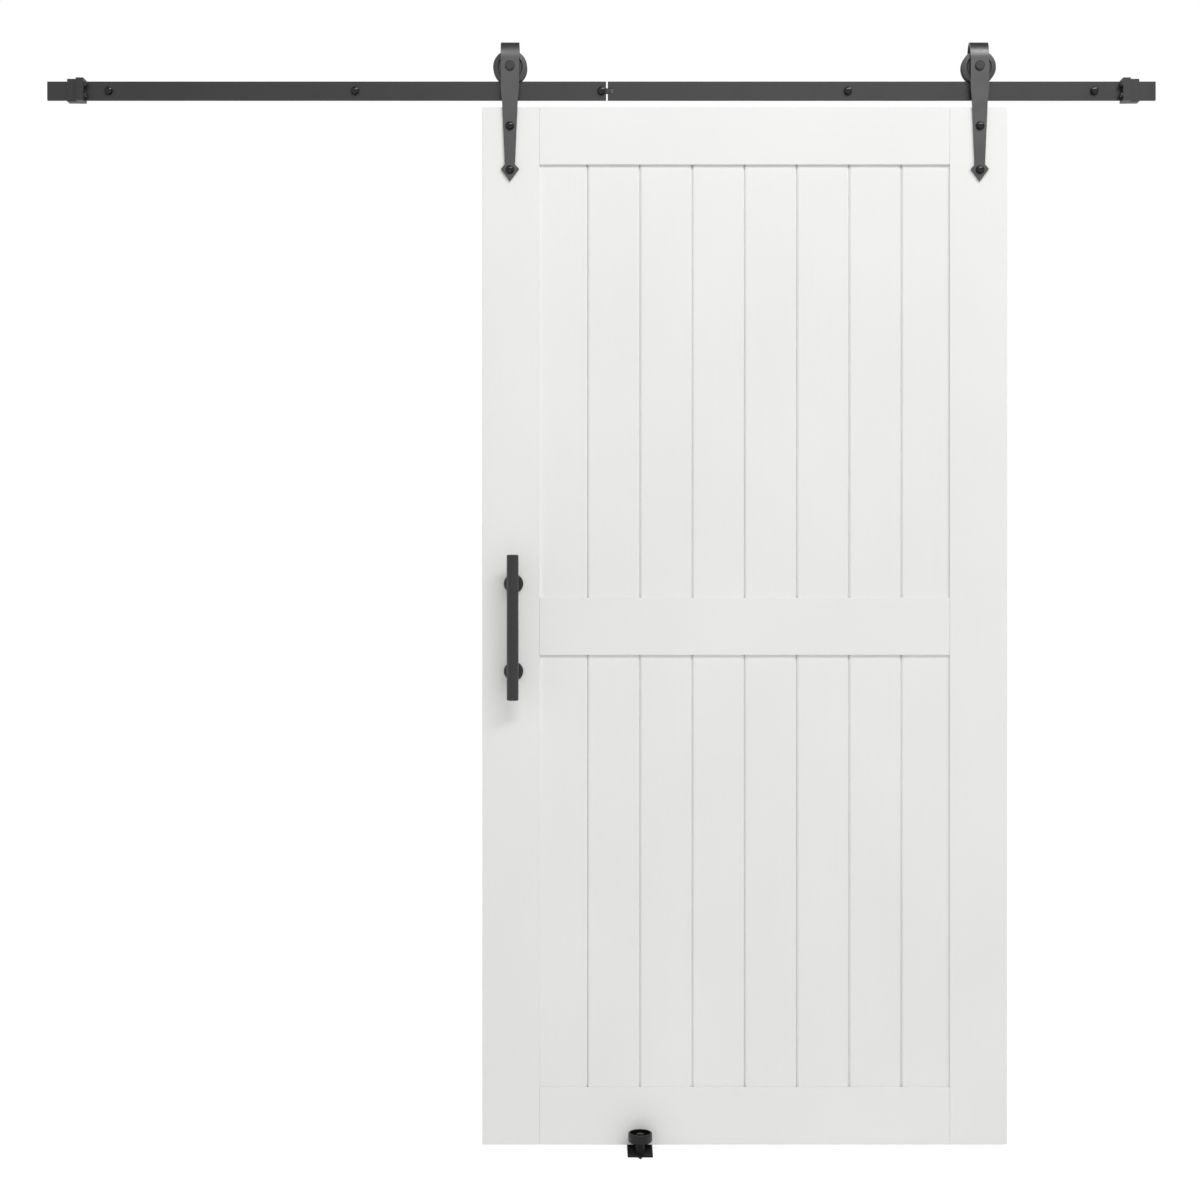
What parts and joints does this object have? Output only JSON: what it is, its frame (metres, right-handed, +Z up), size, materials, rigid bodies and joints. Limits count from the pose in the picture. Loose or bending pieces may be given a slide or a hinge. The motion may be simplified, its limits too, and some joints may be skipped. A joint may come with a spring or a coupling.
{
  "type": "sliding barn door hardware",
  "caption": "Flat wall rail with end stops, two strap hangers on grooved wheels, a hung plank door with a bar handle, and a floor guide with a roller.",
  "frame": {"origin": "where the axis of the middle wall screw passes through the wall plane", "axes": "+X along the rail to the right as seen from the room, +Y into the wall, +Z up"},
  "size_m": [2.286, 0.1251, 2.2831],
  "materials": {
    "painted_wood": "smooth white satin paint",
    "powder_coat": "fine satin black powder coat",
    "black_fasteners": "glossy black",
    "black_nylon": "turned satin",
    "black_rubber": "moulded",
    "bare_steel": "zinc plated"
  },
  "bodies": {
    "track": {"guide_base_plate": "powder_coat", "guide_bolt": "black_fasteners", "guide_bush": "bare_steel", "guide_glide": "black_nylon", "guide_post": "powder_coat", "guide_washer": "black_fasteners", "left_stop_buttons": "black_rubber", "left_stop_collar": "powder_coat", "left_stop_grub_screws": "black_fasteners", "left_stop_sleeve": "powder_coat", "rail_left": "powder_coat", "rail_right": "powder_coat", "right_stop_buttons": "black_rubber", "right_stop_collar": "powder_coat", "right_stop_grub_screws": "black_fasteners", "right_stop_sleeve": "powder_coat", "wall_screws": "black_fasteners", "wall_spacers": "powder_coat", "wall_washers": "black_fasteners"},
    "door": {"lower_plank_1": "painted_wood", "lower_plank_2": "painted_wood", "lower_plank_3": "painted_wood", "lower_plank_4": "painted_wood", "lower_plank_5": "painted_wood", "lower_plank_6": "painted_wood", "lower_plank_7": "painted_wood", "lower_plank_8": "painted_wood", "upper_plank_1": "painted_wood", "upper_plank_2": "painted_wood", "upper_plank_3": "painted_wood", "upper_plank_4": "painted_wood", "upper_plank_5": "painted_wood", "upper_plank_6": "painted_wood", "upper_plank_7": "painted_wood", "upper_plank_8": "painted_wood", "left_stile": "painted_wood", "right_stile": "painted_wood", "top_rail": "painted_wood", "middle_rail": "painted_wood", "bottom_rail": "painted_wood", "left_strap": "powder_coat", "right_strap": "powder_coat", "axle_bolts": "black_fasteners", "axle_nuts": "bare_steel", "axle_spacers": "bare_steel", "bearing_inner_rings": "bare_steel", "door_bolts": "black_fasteners", "door_bolt_washers": "black_fasteners", "door_bolt_nuts": "bare_steel", "handle_bar": "powder_coat", "handle_posts": "powder_coat", "handle_screws": "bare_steel"},
    "left_wheel_set": {"left_wheel": "black_nylon", "left_bearing_outer_ring": "bare_steel", "left_bearing_balls": "bare_steel"},
    "right_wheel_set": {"right_wheel": "black_nylon", "right_bearing_outer_ring": "bare_steel", "right_bearing_balls": "bare_steel"},
    "roller": {"guide_roller": "black_nylon"}
  },
  "joints": [
    {"name": "door_slide", "type": "slide", "parent": "track", "child": "door", "axis": [1, 0, 0], "range_m": [-0.8506, 0.2688]},
    {"name": "left_wheel_spin", "type": "hinge", "parent": "door", "child": "left_wheel_set", "pos_m": [-0.1881, -0.033, 0.0477], "axis": [0, 1, 0], "continuous": true},
    {"name": "right_wheel_spin", "type": "hinge", "parent": "door", "child": "right_wheel_set", "pos_m": [0.7771, -0.033, 0.0477], "axis": [0, 1, 0], "continuous": true},
    {"name": "guide_roller_spin", "type": "hinge", "parent": "track", "child": "roller", "pos_m": [0.079, -0.0707, -2.1464], "axis": [0, 0, 1], "continuous": true}
  ],
  "couplings": [
    {"joint": "left_wheel_spin", "follows": "door_slide", "rad_per_m": 35.336},
    {"joint": "right_wheel_spin", "follows": "door_slide", "rad_per_m": 35.336},
    {"joint": "guide_roller_spin", "follows": "door_slide", "rad_per_m": -40.984}
  ]
}
